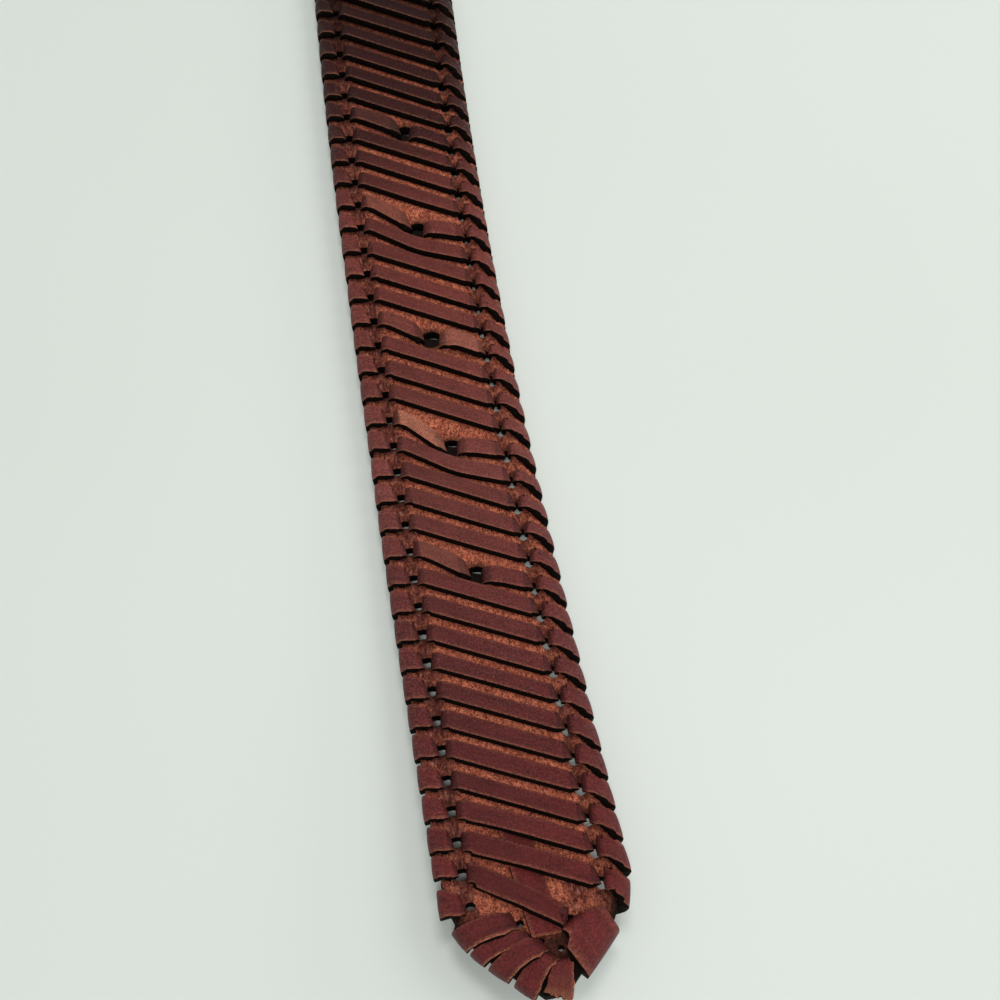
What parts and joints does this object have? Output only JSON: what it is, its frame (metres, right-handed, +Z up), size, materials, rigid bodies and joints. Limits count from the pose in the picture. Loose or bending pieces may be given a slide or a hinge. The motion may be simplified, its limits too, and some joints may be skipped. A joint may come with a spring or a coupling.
{
  "type": "laced leather belt",
  "caption": "Brown leather belt wound with flat leather laces, with a blunt pointed tongue, prong holes and a plain heel-bar buckle.",
  "frame": {"origin": "middle of the bounding box in X and Y, at the lowest point of the laces and the folded strap end", "axes": "+Z up with the laced back face up, +Y along the belt from the tongue tip to the buckle, +X across the belt"},
  "size_m": [0.0454, 1.0268, 0.0128],
  "materials": {
    "suede": "rough flesh side",
    "lace": "smooth satin",
    "brass": "dull, worn"
  },
  "bodies": {
    "root": {"base_strap": "suede", "centre_lace": "lace", "cut_strand_1": "lace", "cut_strand_2": "lace", "cut_strand_3": "lace", "cut_strand_4": "lace", "cut_strand_5": "lace", "edge_lace_left": "lace", "edge_lace_right": "lace", "lace_tail": "lace", "body_lace": "lace", "buckle": "brass"}
  },
  "joints": []
}
